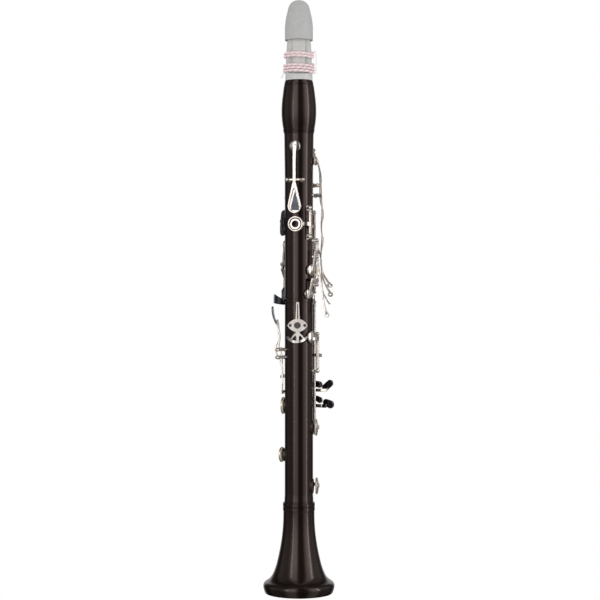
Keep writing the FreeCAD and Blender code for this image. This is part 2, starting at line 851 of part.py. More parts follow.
def make_thumb_ring_key():
    (span,) = long_axle(36.0, float(S["axle_radius"]), [374.0, 346.0])
    key = Key("thumb_ring_key", polar(36.0, float(S["axle_radius"]), 0), -UP, 7.0)
    key.tube(long_tube(36.0, float(S["axle_radius"]), *span))
    key.add(finger_ring(BACK, 358.4, 16.2))
    key.add(band([(9.5, 16.6), (18, 17.9), (27, 18.8), (36, 18.6)], 358.4, 3.6))
    key.add(band([(36, 18.4), (45, 18.9), (54, 18.7), (62, 18.3)], 356.0, 3.0))
    key.finish()


def make_throat_keys():
    height = float(S["cross_axle_height"])
    half = cross_axle(FRONT, height, 392.0, 7.0)
    key = Key("throat_a_key", polar(FRONT, height, 392.0), tangent(FRONT))
    key.tube(cross_tube(FRONT, height, 392.0, half))
    key.pad_over("upper", FRONT, 421.0, 5.6, 3.3, 14.7)
    key.add(lever(FRONT, [(424, 18.0), (410, 19.0), (400, 19.5), (392, 19.4), (384, 19.2), (374, 18.6), (368, 18.2)],
                  [((0, 421), 2.0, (0, 392), 1.8), ((0, 378), 4.6, (0, 394), 2.0)]))
    key.finish()

    side = 207.0
    half = cross_axle(side, height, 385.0, 4.7)
    key = Key("throat_g_sharp_key", polar(side, height, 385.0), tangent(side))
    key.tube(cross_tube(side, height, 385.0, half))
    key.pad_over("upper", side, 411.0, 5.0, 3.0, 14.5)
    key.add(lever(side, [(414, 17.8), (400, 18.9), (385, 19.4), (378, 19.0), (372, 18.4), (364, 18.2)],
                  [((0, 411), 1.9, (0, 385), 1.8), ((0, 386), 1.9, (0, 371), 2.8)], 1.6))
    foot = UP * 345.0
    shell = Part.makeCylinder(18.7, 30.0, foot).cut(Part.makeCylinder(17.2, 30.0, foot))
    key.add(shell.common(plan(240.0, [((-3.5, 366.0), 7.6, (1.3, 354.2), 6.4)])))
    key.add(Part.makeCylinder(0.9, 1.4, polar(255.0, 17.9, 362.0), outward(255.0)))
    key.finish()


def ring_arm(z, width=3.4):
    """The arm from a front finger ring round to the ring keys' axle."""
    return band([(144, 16.7), (138, 17.8), (131, 18.6), (124, 18.5)], z, width)


def cup_arm(z, width=3.0, first=FRONT, last=124.0):
    """The arm from a cup round to a long axle."""
    middle = (first + last) / 2
    return band([(first, 17.5), ((first + middle) / 2, 18.4), (middle, 19.0), ((middle + last) / 2, 19.1),
                 (last, 18.5)], z, width)


def make_upper_ring_keys():
    radius = float(S["axle_radius"])
    lower_span, upper_span = long_axle(124.0, radius, [371.0, 337.5, 293.0])
    key = Key("upper_ring_key", polar(124.0, radius, 0), UP, 7.0)
    key.tube(long_tube(124.0, radius, *upper_span))
    key.add(finger_ring(FRONT, 347.0, 16.2), ring_arm(347.0), cup_arm(362.5))
    key.pad_over("upper", FRONT, 362.5, 4.8, 2.4)
    key.finish()
    chimney("upper", 347.0)

    key = Key("bridge_ring_key", polar(124.0, radius, 0), UP, 7.0)
    key.tube(long_tube(124.0, radius, *lower_span))
    key.add(finger_ring(FRONT, 328.0, 16.2), ring_arm(328.0), cup_arm(298.5))
    key.pad_over("upper", FRONT, 298.5, 4.8, 2.6)
    key.add(band([(124, 18.5), (131, 19.2), (138, 19.3), (144, 19.1)], 298.4, 3.4))
    key.add(band([(134, 19.2), (138, 19.3), (142, 19.2), (146, 19.0)], 292.5, 12.6))
    key.finish()
    chimney("upper", 328.0)
    chimney("upper", 310.5)


def make_side_keys():
    """The two lower side keys, which turn on one axle and open small pads at the back."""
    radius = float(S["axle_radius"])
    lower_span, upper_span = long_axle(76.0, radius, [343.0, 327.0, 300.0])
    key = Key("side_e_flat_key", polar(76.0, radius, 0), UP)
    key.tube(long_tube(76.0, radius, *lower_span))
    key.pad_over("upper", 36.0, 290.8, 4.65, 2.6)
    key.add(band([(76, 18.5), (66, 19.3), (54, 19.4), (41, 19.0)], 304.6, 3.0))
    key.add(lever(38.0, [(309, 19.2), (300, 18.9), (292, 17.7), (286, 17.2)], [((1.2, 304.6), 1.5, (-0.6, 291), 1.5)]))
    key.add(lever(80.0, [(325, 19.4), (314, 20.0), (303, 21.9), (292, 23.4), (282, 24.8), (275, 26.6), (268, 29.6)],
                  [((-1.0, 320), 1.4, (0, 283), 1.3), ((0, 283), 1.4, (0, 274.5), 3.6)]))
    key.add(curl(80.0, 270.6, 27.4))
    key.finish()

    key = Key("side_f_sharp_key", polar(76.0, radius, 0), UP)
    key.tube(long_tube(76.0, radius, *upper_span))
    key.pad_over("upper", 50.0, 314.0, 5.5, 3.0)
    key.add(band([(76, 18.5), (70, 19.5), (62, 19.6), (54, 19.0)], 331.5, 3.0))
    key.add(lever(52.0, [(336, 19.3), (328, 19.2), (320, 18.4), (314, 17.7), (308, 17.4)],
                  [((1.0, 331.5), 1.5, (-0.6, 314), 1.5)]))
    key.add(lever(90.0, [(344, 18.5), (336, 18.8), (327, 21.2), (314, 22.2), (304, 22.3), (295, 23.2),
                         (288, 25.6), (283, 28.6), (278, 32.8)],
                  [((-3.6, 336), 1.5, (0, 327), 1.2), ((0, 327), 1.2, (0, 290), 1.2),
                   ((0, 290), 1.3, (0, 284.2), 3.4)]))
    key.finish()


def make_trill_keys():
    """The two upper side keys, see-saws across short axles, with long levers down the side."""
    height = float(S["cross_axle_height"])
    # label, lever angle, axle level, pad angle and level, the lever's line below the axle,
    # and the touch's level with the level and height of its rolled tip
    table = [
        ("upper_trill_key", 109.0, 397.0, 123.0, 429.5,
         [(381, 22.9), (369, 25.4), (356, 23.6), (344, 25.2), (332, 23.4), (322, 22.8), (313, 24.6), (305, 29.0),
          (298, 34.6)], (303.0, 299.6, 32.4)),
        ("lower_trill_key", 99.5, 387.0, 87.0, 420.5,
         [(371, 22.9), (357, 22.2), (348, 22.8), (336, 22.2), (314, 22.6), (305, 24.4), (296, 28.6),
          (288, 33.8)], (294.0, 290.6, 31.2)),
    ]
    for label, angle, axle, pad_angle, pad_level, line, (touch, tip_level, tip_height) in table:
        half = cross_axle(angle, height, axle, 4.7)
        key = Key(label, polar(angle, height, axle), tangent(angle))
        key.tube(cross_tube(angle, height, axle, half))
        key.pad_over("upper", pad_angle, pad_level, 4.5, 2.4, 14.8)
        shift = 17.6 * math.sin(math.radians(pad_angle - angle))
        side = [(pad_level + 4, 17.0), (pad_level - 3, 18.4), (pad_level - 11, 20.8), (axle + 10, 21.9),
                (axle, 22.2)] + line
        key.add(lever(angle, side, [((shift, pad_level), 1.4, (0, axle + 12), 1.2),
                                    ((0, axle + 12), 1.2, (0, touch + 8), 1.2),
                                    ((0, touch + 9), 1.3, (0, touch), 2.9)]))
        key.add(curl(angle, tip_level, tip_height))
        saddle = Part.makeBox(2.6, 3.2, 4.4, Vector(-1.3, -1.6, height + 0.9))
        key.add(placed(saddle, frame(angle, axle)))
        key.finish()


def make_left_upper_keys():
    """The sliver key between the second and third holes, and the little finger's upper key."""
    radius, height = float(S["axle_radius"]), float(S["cross_axle_height"])
    (span,) = long_axle(200.0, radius, [332.0, 298.0])
    key = Key("e_flat_key", polar(200.0, radius, 0), -UP)
    key.tube(long_tube(200.0, radius, *span))
    key.pad_over("upper", 222.0, 305.0, 4.5, 2.4)
    key.add(cup_arm(305.0, 3.0, 222.0, 200.0))
    key.add(band([(200, 18.5), (192, 19.2), (184, 18.9), (176, 18.3), (169, 17.9)], 318.0, 3.6))
    key.finish()

    # C sharp: its lever steps over the E flat key and comes out at the left as a curved touch
    angle = 230.0
    half = cross_axle(angle, height, 320.0, 4.7)
    key = Key("c_sharp_key", polar(angle, height, 320.0), tangent(angle))
    key.tube(cross_tube(angle, height, 320.0, half))
    key.pad_over("upper", angle, 339.0, 5.2, 3.0)
    key.add(lever(angle, [(342, 17.4), (333, 18.5), (326, 19.2), (320, 19.6), (315, 21.2), (309, 22.8), (302, 23.0),
                          (295, 22.8), (288, 22.4), (281, 22.2)],
                  [((0, 339), 1.7, (0, 322), 1.7), ((0, 323), 1.7, (0, 315), 1.6), ((0, 316), 1.6, (-6, 307), 1.4),
                   ((-6, 308), 1.4, (-5.5, 296), 1.6), ((-5.5, 297), 1.6, (-3.5, 293), 2.6),
                   ((-3.5, 293), 2.4, (-3, 285.5), 2.4)], 1.6))
    touch = band([(216, 22.0), (228, 22.6), (240, 23.2), (252, 23.8), (262, 24.3)], 285.5, 12.0, 1.6)
    key.add(touch.common(plan(244.0, [((-8, 283.0), 2.8, (6.5, 286.2), 4.4)])))
    key.finish()


# ---------------------------------------------------------------- keywork of the lower joint


def make_lower_ring_key():
    """Three finger rings and a pad on one tube. The same axle carries the F sharp key below it."""
    radius = float(S["axle_radius"])
    lower_span, upper_span = long_axle(124.0, radius, [283.0, 214.0, 155.0])
    key = Key("lower_ring_key", polar(124.0, radius, 0), UP, 7.0)
    key.tube(long_tube(124.0, radius, *upper_span))
    for z in (262.0, 241.0, 221.0):
        key.add(finger_ring(FRONT, z, 16.2), ring_arm(z))
        chimney("lower", z)
    key.pad_over("lower", FRONT, 275.2, 4.8, 2.6)
    key.add(cup_arm(275.2))
    key.add(band([(124, 18.5), (131, 20.3), (138, 21.2), (144, 21.2)], 278.6, 3.4))
    key.add(band([(134, 21.0), (138, 21.2), (142, 21.1), (146, 20.9)], 283.6, 13.0))
    key.finish()
    return lower_span


def make_b_key():
    """The sliver key between the fifth and sixth holes; its touch bridges the ring keys' tube."""
    radius = float(S["axle_radius"])
    (span,) = long_axle(84.0, radius, [252.0, 216.0])
    key = Key("b_key", polar(84.0, radius, 0), UP)
    key.tube(long_tube(84.0, radius, *span))
    key.pad_over("lower", 52.0, 249.0, 5.85, 3.4)
    key.add(cup_arm(247.4, 3.2, 52.0, 84.0))
    key.add(band([(84, 18.5), (93, 21.2), (106, 22.6), (124, 22.7), (142, 21.4), (153, 19.6), (160, 18.8)],
                 231.0, 3.2))
    key.finish()


def plate(angle, w, drops, thickness=1.8):
    """A flat touch, tangent to the joint at w."""
    shapes = [drop(*d, thickness).translated(UP * (w - thickness / 2)) for d in drops]
    return placed(joined(shapes), frame(angle))


TOUCH_FRAME = 140.0


def make_little_finger_keys(f_sharp_span):
    """The right little finger's four keys."""
    radius = float(S["axle_radius"])

    # F sharp, on the ring keys' axle
    key = Key("f_sharp_key", polar(124.0, radius, 0), -UP, 6.0)
    key.tube(long_tube(124.0, radius, *f_sharp_span))
    key.pad_over("lower", 84.0, 161.0, 8.25, 5.6)
    key.add(cup_arm(161.0, 3.6, 84.0, 124.0))
    key.add(plate(TOUCH_FRAME, 22.2, [((-15.0, 199.2), 3.5, (-20.4, 203.6), 3.4)]))
    key.add(band([(124, 18.6), (117, 19.6), (110, 21.6), (104, 24.4), (100, 27.0)], 196.6, 3.0))
    key.add(band([(124, 18.5), (136, 19.9), (158, 21.2), (182, 22.2), (205, 22.6), (222, 22.3), (234, 22.0)], 209.9, 2.8))
    key.finish()

    # the axle of E, and of the lever that works F
    e_span, f_touch_span = long_axle(147.0, radius, [206.2, 198.0, 100.0])
    lift = Key("f_touch_lever", polar(147.0, radius, 0), -UP, 5.0)
    lift.tube(long_tube(147.0, radius, *sorted(f_touch_span)))
    lift.add(plate(TOUCH_FRAME, 22.2, [((-4.4, 202.4), 3.1, (-7.5, 201.8), 3.2)]))
    lift.add(band([(147, 18.6), (141, 20.4), (133, 22.0), (127, 22.8)], 202.0, 3.0))
    lift.add(band([(147, 18.5), (156, 18.6), (166, 18.4), (177, 18.2)], 202.0, 2.8))
    lift.finish()

    key = Key("e_key", polar(147.0, radius, 0), -UP, 6.0)
    key.tube(long_tube(147.0, radius, *sorted(e_span)))
    key.pad_over("lower", 84.0, 104.0, 8.25, 5.8)
    key.add(cup_arm(104.0, 3.8, 84.0, 147.0))
    key.add(plate(TOUCH_FRAME, 22.2, [((-15.2, 184.6), 3.4, (-20.2, 182.8), 4.0)]))
    key.add(band([(147, 18.6), (141, 20.6), (132, 22.5), (120, 23.4), (110, 24.6), (103, 26.3)], 181.0, 3.4))
    key.add(band([(147, 18.6), (156, 20.9), (174, 23.4), (192, 24.4), (206, 24.2), (220, 23.0), (236, 21.4)], 194.3, 2.6))
    key.finish()

    # A flat, closed at rest
    (span,) = long_axle(188.0, radius, [190.3, 171.0])
    key = Key("a_flat_key", polar(188.0, radius, 0), -UP)
    key.tube(long_tube(188.0, radius, *span))
    key.pad_over("lower", 257.0, 182.0, 8.4, 5.8)
    key.add(band([(188, 18.6), (195, 20.9), (205, 22.0), (218, 21.6), (236, 19.6), (257, 17.6)], 182.0, 3.6))
    key.add(plate(TOUCH_FRAME, 23.8, [((-3.0, 188.2), 2.8, (-7.0, 186.6), 3.0)]))
    key.add(band([(188, 18.6), (181, 20.9), (170, 22.9), (158, 23.9), (146, 24.1), (138, 23.9)], 186.4, 3.2))
    key.finish()

    # F, open at rest, worked through the lever
    (span,) = long_axle(205.0, radius, [205.4, 130.0])
    key = Key("f_key", polar(205.0, radius, 0), UP, 6.0)
    key.tube(long_tube(205.0, radius, *span))
    key.pad_over("lower", 257.0, 134.0, 7.5, 5.2)
    key.add(cup_arm(134.4, 3.6, 257.0, 205.0))
    key.add(band([(205, 18.6), (196, 20.1), (186, 20.6), (174, 20.5)], 201.6, 2.6))
    key.finish()


def make_left_levers():
    """The left little finger's two levers, on axles held clear of the wood by tall posts."""
    angle, height = -99.0, 19.7
    half = cross_axle(angle, height, 236.8, 10.0)
    key = Key("e_lever", polar(angle, height, 236.8), -tangent(angle))
    key.tube(cross_tube(angle, height, 236.8, half))
    key.add(lever(angle, [(284, 26.0), (277, 25.4), (270, 24.6), (265, 23.0), (260, 20.8), (254, 18.9), (245, 18.8),
                          (239, 19.3),
                          (233, 16.9), (226, 16.1), (212, 15.8), (196, 16.0), (190, 16.2)],
                  [((3.2, 275), 3.9, (3.0, 264), 2.8), ((3.0, 264), 2.0, (3.0, 246), 1.5),
                   ((3.0, 247), 1.5, (3.0, 197), 1.4)]))
    key.add(band([(270, 16.1), (262, 16.2), (252, 16.3), (244, 16.6), (238, 16.9)], 195.2, 3.6))
    key.finish()

    half = cross_axle(angle, height, 229.4, 10.0)
    key = Key("f_sharp_lever", polar(angle, height, 229.4), -tangent(angle))
    key.tube(cross_tube(angle, height, 229.4, half))
    key.add(lever(angle, [(274, 23.0), (266, 21.8), (258, 20.7), (250, 20.3), (245, 21.2), (241, 22.9), (236, 23.6),
                          (230, 21.3), (224, 18.6), (216, 16.9), (206, 16.0)],
                  [((-4.0, 263), 3.1, (-3.4, 254), 2.6), ((-3.2, 254), 1.8, (-3.0, 212), 1.4)]))
    key.add(band([(250, 16.6), (245, 16.6), (239, 16.8), (234, 17.0)], 210.8, 3.0))
    key.finish()


# ---------------------------------------------------------------- thumb rest, bushes


def make_thumb_rest():
    """A base plate screwed to the joint, with a hook that slides behind it on a rail."""
    place = frame(float(S["thumb_rest_turn"]))
    level = 260.5
    width, height = float(S["plate_width"]), float(S["plate_height"])
    ceiling, thick = 16.0, float(S["plate_thickness"])

    def lemon(w, half_width, half_height, depth):
        face = Part.Face(Part.Wire([
            Part.Arc(Vector(-half_width, level, w), Vector(0, level + half_height, w),
                     Vector(half_width, level, w)).toShape(),
            Part.Arc(Vector(half_width, level, w), Vector(0, level - half_height, w),
                     Vector(-half_width, level, w)).toShape(),
        ]))
        return face.extrude(UP * depth)

    def cylinder(u, v, w, radius, depth):
        return Part.makeCylinder(radius, depth, Vector(u, v, w))

    plate_body = lemon(ceiling, width / 2, height / 2, thick)
    feet = lemon(13.2, width / 2 - 0.8, height / 2 - 0.6, ceiling - 13.2)
    feet = feet.cut(Part.makeBox(4.8, 30, 6, Vector(-2.4, level - 15, 12)))
    boss = cylinder(0, level, ceiling + thick - 0.2, 4.65, 1.4).cut(cylinder(0, level, ceiling + thick, 3.5, 3))
    body = joined([plate_body, feet, boss])
    screws = []
    for u in (-7.0, 7.0):
        head = cylinder(u, level, ceiling + thick - 0.5, 1.5, 0.8).fuse(cylinder(u, level, 12.4, 0.8, 5.0))
        head = head.cut(Part.makeBox(3.2, 0.5, 1, Vector(u - 1.6, level - 0.25, ceiling + thick)))
        screws.append(head)
    clamp = cylinder(0, level, ceiling + thick, 3.1, 1.0).fuse(cylinder(0, level, ceiling + 0.2, 1.2, 2.0))
    clamp = clamp.cut(Part.makeBox(7, 0.8, 1, Vector(-3.5, level - 0.4, ceiling + thick + 0.5)))
    screws.append(clamp)
    body = body.cut(Part.makeCompound(screws))
    for label, shape in (("thumb_rest_plate", body), ("thumb_rest_screws", Part.makeCompound(screws))):
        feature = doc.addObject("Part::Feature", label)
        feature.Shape = placed(shape, place)
        keep(feature, label)

    # the slide: a slotted rail, a two-legged neck and the hook's curved shelf
    low, thin = 14.55, 1.1
    rail = Part.Face(Part.makePolygon([
        Vector(-2.0, 250, low), Vector(-2.0, 267, low), Vector(-1.3, 283, low), Vector(1.3, 283, low),
        Vector(2.0, 267, low), Vector(2.0, 250, low), Vector(-2.0, 250, low),
    ])).extrude(UP * thin)
    rail = rail.cut(Part.makeBox(0.9, 14, 4, Vector(-0.45, 266.8, low - 1)))
    depth = float(S["shelf_depth"])
    shelf = ribbon([(-10.0, 249.6), (-7.4, 247.2), (-3.6, 245.4), (0, 244.9), (3.6, 245.4), (7.4, 247.2), (10.0, 249.6)],
                   float(S["shelf_thickness"]), depth).translated(UP * (low + depth / 2))
    reach = Part.makeCylinder(11.2, 30, Vector(0, 235, low - 1), Vector(0, 1, 0))
    reach.translate(Vector(0, 0, 4.0))
    shelf = shelf.common(reach)
    legs = []
    for side in (-1, 1):
        legs.append(ribbon([(side * 1.3, 252.5), (side * 3.6, 250.6), (side * 5.2, 248.6), (side * 6.6, 246.4)],
                           1.5, thin).translated(UP * (low + thin / 2)))
    stem = Part.makeBox(2.4, 6, 1.6, Vector(-1.2, 245.2, low))
    slide = joined([rail, shelf, stem] + legs)
    feature = doc.addObject("Part::Feature", "thumb_rest_slide")
    feature.Shape = placed(slide, place)
    keep(feature, "thumb_rest_slide")


def tube_part(label, angle, z, outer, inner, low, high):
    """A bush or vent: a cylinder with a hole, as booleans of the document."""
    turn = FreeCAD.Rotation(UP, outward(angle))
    body = doc.addObject("Part::Cylinder", "Outside")
    bore = doc.addObject("Part::Cylinder", "Inside")
    for made, radius, start, end in ((body, outer, low, high), (bore, inner, low - 1, high + 1)):
        if hasattr(radius, "text"):
            made.setExpression("Radius", radius.text)
        else:
            made.Radius = radius
        made.Height = end - start
        made.Placement = FreeCAD.Placement(polar(angle, start, z), turn)
    return body, cut_from(body, [bore], label)


def group(label, shapes):
    feature = doc.addObject("Part::Feature", label)
    feature.Shape = Part.makeCompound(shapes)
    return keep(feature, label)


# ---------------------------------------------------------------- the whole clarinet

make_mouthpiece()
make_cap()
make_cord()
make_bell()
make_barrel()
make_corks()
lower_blank, upper_blank = make_joint_blanks()

make_register_key()
make_thumb_ring_key()
make_throat_keys()
make_upper_ring_keys()
make_side_keys()
make_trill_keys()
make_left_upper_keys()
make_b_key()
make_little_finger_keys(make_lower_ring_key())
make_left_levers()
make_thumb_rest()

bush_plug, _ = tube_part("thumb_bush", BACK, 358.4, S["thumb_bush_radius"], S["thumb_hole_radius"], 7.6, 16.2)
vent_plug, _ = tube_part("register_vent", BACK, 433.4, 2.3, 1.4, 6.0, 15.6)
for name, shapes in list(posts.items()) + list(rods.items()):
    group(name, shapes)

rest_seat = sub_parts["thumb_rest_plate"]
rest_screws = sub_parts["thumb_rest_screws"]
finish_joint("upper", upper_blank, "upper_joint", [sub_parts["upper_posts"], bush_plug, vent_plug])
finish_joint("lower", lower_blank, "lower_joint", [sub_parts["lower_posts"], rest_seat, rest_screws])

doc.recompute()

for made in doc.Objects:
    if "Invalid" in made.State or "Error" in made.State:
        raise RuntimeError("%s (%s) did not build: %s" % (made.Name, made.Label, made.State))
for label, feature in sub_parts.items():
    if feature.Shape.isNull() or not feature.Shape.isValid():
        raise RuntimeError("%s has no valid shape" % label)

os.makedirs("parts", exist_ok=True)
for label, feature in sub_parts.items():
    feature.Shape.exportStep("parts/%s.step" % label)
print("%d sub-parts" % len(sub_parts))
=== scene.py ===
import json
import math

import bpy
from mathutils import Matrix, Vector


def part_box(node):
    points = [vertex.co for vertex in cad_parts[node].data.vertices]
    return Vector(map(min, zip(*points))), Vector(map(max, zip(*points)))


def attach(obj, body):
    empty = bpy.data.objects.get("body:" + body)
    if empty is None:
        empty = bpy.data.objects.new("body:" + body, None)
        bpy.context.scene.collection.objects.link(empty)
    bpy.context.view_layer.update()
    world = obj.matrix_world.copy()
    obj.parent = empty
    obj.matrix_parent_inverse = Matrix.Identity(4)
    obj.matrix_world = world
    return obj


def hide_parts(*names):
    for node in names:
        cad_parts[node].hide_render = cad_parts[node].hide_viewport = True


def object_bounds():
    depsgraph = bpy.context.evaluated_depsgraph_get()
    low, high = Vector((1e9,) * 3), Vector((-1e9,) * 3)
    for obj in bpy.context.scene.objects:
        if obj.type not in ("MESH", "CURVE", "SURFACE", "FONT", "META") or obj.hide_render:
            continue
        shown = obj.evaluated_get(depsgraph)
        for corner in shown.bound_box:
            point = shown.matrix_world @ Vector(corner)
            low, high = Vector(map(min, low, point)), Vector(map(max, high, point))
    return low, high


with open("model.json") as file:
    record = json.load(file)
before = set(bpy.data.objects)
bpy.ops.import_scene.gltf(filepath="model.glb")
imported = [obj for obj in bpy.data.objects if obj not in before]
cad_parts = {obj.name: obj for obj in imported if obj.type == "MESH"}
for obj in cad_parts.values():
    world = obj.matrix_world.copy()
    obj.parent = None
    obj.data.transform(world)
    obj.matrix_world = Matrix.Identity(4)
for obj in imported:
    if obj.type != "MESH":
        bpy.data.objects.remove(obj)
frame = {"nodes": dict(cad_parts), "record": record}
CAD_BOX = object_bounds()
NODES = frame["nodes"]
SLOTS = {entry["node"]: entry["material_slot"] for entry in frame["record"]["subparts"]}
MM = 0.001


# ---------------------------------------------------------------- node trees


def grey(value):
    return (value, value, value)


class Tree:
    """A node tree, with short ways to add and join its nodes."""

    def __init__(self, tree):
        self.tree = tree

    def add(self, kind, links=(), **values):
        """A node with its links, given as (source, socket), and its input values or settings."""
        made = self.tree.nodes.new(kind)
        for key, value in values.items():
            if key in made.inputs:
                made.inputs[key].default_value = value
            else:
                setattr(made, key, value)
        for source, socket in links:
            self.tree.links.new(source, made.inputs[socket])
        return made

    def math(self, operation, first, second=0.0):
        """The result of a Math node, where each operand is a socket or a number."""
        made = self.add("ShaderNodeMath", operation=operation)
        for place, operand in enumerate((first, second)):
            if isinstance(operand, (int, float)):
                made.inputs[place].default_value = operand
            else:
                self.tree.links.new(operand, made.inputs[place])
        return made.outputs[0]

    def ramp(self, factor, stops, interpolation="LINEAR"):
        """A colour ramp through stops of (position, colour or level of grey)."""
        made = self.add("ShaderNodeValToRGB", [(factor, "Fac")])
        elements = made.color_ramp.elements
        while len(elements) < len(stops):
            elements.new(0.5)
        for element, (at, tone) in zip(elements, stops):
            color = tone if isinstance(tone, tuple) else grey(tone)
            element.position = at
            element.color = (*color, 1)
        made.color_ramp.interpolation = interpolation
        return made.outputs["Color"]

    def rescaled(self, value, source=(0.0, 1.0), target=(0.0, 1.0)):
        """A value taken from one range to another, and kept inside it."""
        made = self.add("ShaderNodeMapRange", [(value, "Value")])
        for socket, number in zip(("From Min", "From Max", "To Min", "To Max"), (*source, *target)):
            made.inputs[socket].default_value = number
        return made.outputs["Result"]

    def mixed(self, factor, first, second):
        """The output of a shader that turns from the first to the second."""
        return self.add("ShaderNodeMixShader", [(factor, 0), (first, 1), (second, 2)]).outputs[0]


class Shader(Tree):
    """A Principled material built from procedural nodes."""

    def __init__(self, name, color, metallic=0.0, roughness=0.4, **plain):
        self.material = bpy.data.materials.new(name)
        self.material.use_nodes = True
        super().__init__(self.material.node_tree)
        self.surface = self.tree.nodes["Principled BSDF"]
        self.surface.inputs["Base Color"].default_value = (*color, 1)
        self.surface.inputs["Metallic"].default_value = metallic
        self.surface.inputs["Roughness"].default_value = roughness
        for socket, value in plain.items():
            self.surface.inputs[socket.replace("_", " ")].default_value = value
        self.bump = None

    def place(self, scale=(1, 1, 1)):
        """The object's own coordinates in millimetres, stretched by scale."""
        coords = self.add("ShaderNodeTexCoord")
        mapping = self.add("ShaderNodeMapping", [(coords.outputs["Object"], "Vector")])
        mapping.inputs["Scale"].default_value = [s / MM for s in scale]
        return mapping.outputs["Vector"]

    def noise(self, where, scale, detail=3.0, distortion=0.0):
        """Cloudy noise from 0 to 1, with scale waves to each unit of where."""
        made = self.add("ShaderNodeTexNoise", [(where, "Vector")])
        for socket, number in (("Scale", scale), ("Detail", detail), ("Distortion", distortion)):
            made.inputs[socket].default_value = number
        return made.outputs["Fac"]

    def inside(self, box, slope):
        """1 inside a box of (low, high) corners in millimetres, and 0 outside it.

        The box narrows to nothing at its top: below that, its left and right sides stand off its
        middle by slope times the depth, until the box has its full width.
        """
        low, high = box
        where = self.add("ShaderNodeSeparateXYZ", [(self.place(), "Vector")]).outputs
        aside = self.math("ABSOLUTE", self.math("SUBTRACT", where["X"], (low[0] + high[0]) / 2))
        room = self.math("MULTIPLY", self.math("SUBTRACT", high[2], where["Z"]), slope)
        found = self.math("LESS_THAN", aside, room)
        for axis, least, most in zip("XYZ", low, high):
            found = self.math("MULTIPLY", found, self.math("GREATER_THAN", where[axis], least))
            found = self.math("MULTIPLY", found, self.math("LESS_THAN", where[axis], most))
        return found

    def color(self, socket):
        self.tree.links.new(socket, self.surface.inputs["Base Color"])

    def rough(self, factor, low, high):
        self.tree.links.new(self.rescaled(factor, target=(low, high)), self.surface.inputs["Roughness"])

    def relief(self, height, distance, strength):
        """Bumps from a height, a distance in millimetres deep, over any that are there already."""
        links = [(height, "Height")]
        if self.bump:
            links.append((self.bump, "Normal"))
        made = self.add("ShaderNodeBump", links, Distance=distance * MM, Strength=strength)
        self.bump = made.outputs["Normal"]
        self.tree.links.new(self.bump, self.surface.inputs["Normal"])


# ---------------------------------------------------------------- materials

SILVER = (0.90, 0.85, 0.82)
# painted shade: the tone that stands in for shade and dark reflections on the keys' touches
PAINTED_SHADE_TONE = (0.2, 0.205, 0.24)
# painted reflection: the darker tone of the dark room mirrored in the register key's dished touch
PAINTED_DISH_TONE = (0.1, 0.105, 0.125)

# how fast a box of painted shade widens below its top: nearly at once, or slowly, as the register key's
# touch does
BLUNT = 10
TAPERED = 0.25


def blackwood():
    """Oiled grenadilla: nearly black and warm, with fine grain along the bore."""
    made = Shader("grenadilla", (0.01, 0.007, 0.006), roughness=0.25, Specular_IOR_Level=0.55,
                  Coat_Weight=0.12, Coat_Roughness=0.08)
    made.surface.inputs["Specular Tint"].default_value = (1.0, 0.80, 0.74, 1)
    made.surface.inputs["Coat Tint"].default_value = (1.0, 0.9, 0.86, 1)
    grain = made.noise(made.place((1.6, 1.6, 0.05)), 1.0, 6.0, 0.6)
    pores = made.noise(made.place((5.0, 5.0, 0.22)), 1.0, 3.0)
    dark, middle, light = (0.004, 0.0018, 0.0014), (0.008, 0.0036, 0.003), (0.022, 0.009, 0.007)
    made.color(made.ramp(grain, [(0.35, dark), (0.62, middle), (0.8, light)]))
    made.rough(grain, 0.13, 0.22)
    made.relief(pores, 0.05, 0.3)
    return made.material


def plated(name, tone, roughness=(0.1, 0.2), painted_shade_box=None, shade_reflection_tone=PAINTED_SHADE_TONE, slope=BLUNT):
    """Plated metal: faint tarnish in patches, a hand-polished surface and, in a box, a painted dark
    tone that stands in for shade and dark reflections.
    """
    smooth, dulled = roughness
    made = Shader(name, tone, metallic=1.0, roughness=smooth)
    patches = made.noise(made.place(), 0.12, 4.0, 0.5)
    scratches = made.noise(made.place((1.0, 1.0, 6.0)), 0.9, 5.0)
    tarnish = tuple(t * s for t, s in zip(tone, (0.86, 0.80, 0.74)))
    plating = made.ramp(patches, [(0.38, tarnish), (0.6, tone)])
    # painted shade and dark reflection, mixed into the plating inside the box
    if painted_shade_box:
        shade = made.ramp(patches, [(0.35, tuple(0.6 * t for t in shade_reflection_tone)), (0.65, shade_reflection_tone)])
        links = [(made.inside(painted_shade_box, slope), "Fac"), (plating, "Color1"), (shade, "Color2")]
        plating = made.add("ShaderNodeMixRGB", links).outputs["Color"]
    made.color(plating)
    made.rough(patches, dulled, smooth)
    made.relief(scratches, 0.02, 0.2)
    return made.material


def speckled(name, dark, light, scale, roughness, relief, stretch=(1, 1, 1)):
    """A matt surface that turns between two tones in small spots, which stand a little proud."""
    made = Shader(name, light, roughness=roughness)
    spots = made.noise(made.place(stretch), scale, 6.0)
    made.color(made.ramp(spots, [(0.36, dark), (0.62, light)]))
    made.rough(spots, roughness + 0.08, roughness - 0.04)
    made.relief(spots, relief, 0.5)
    return made.material


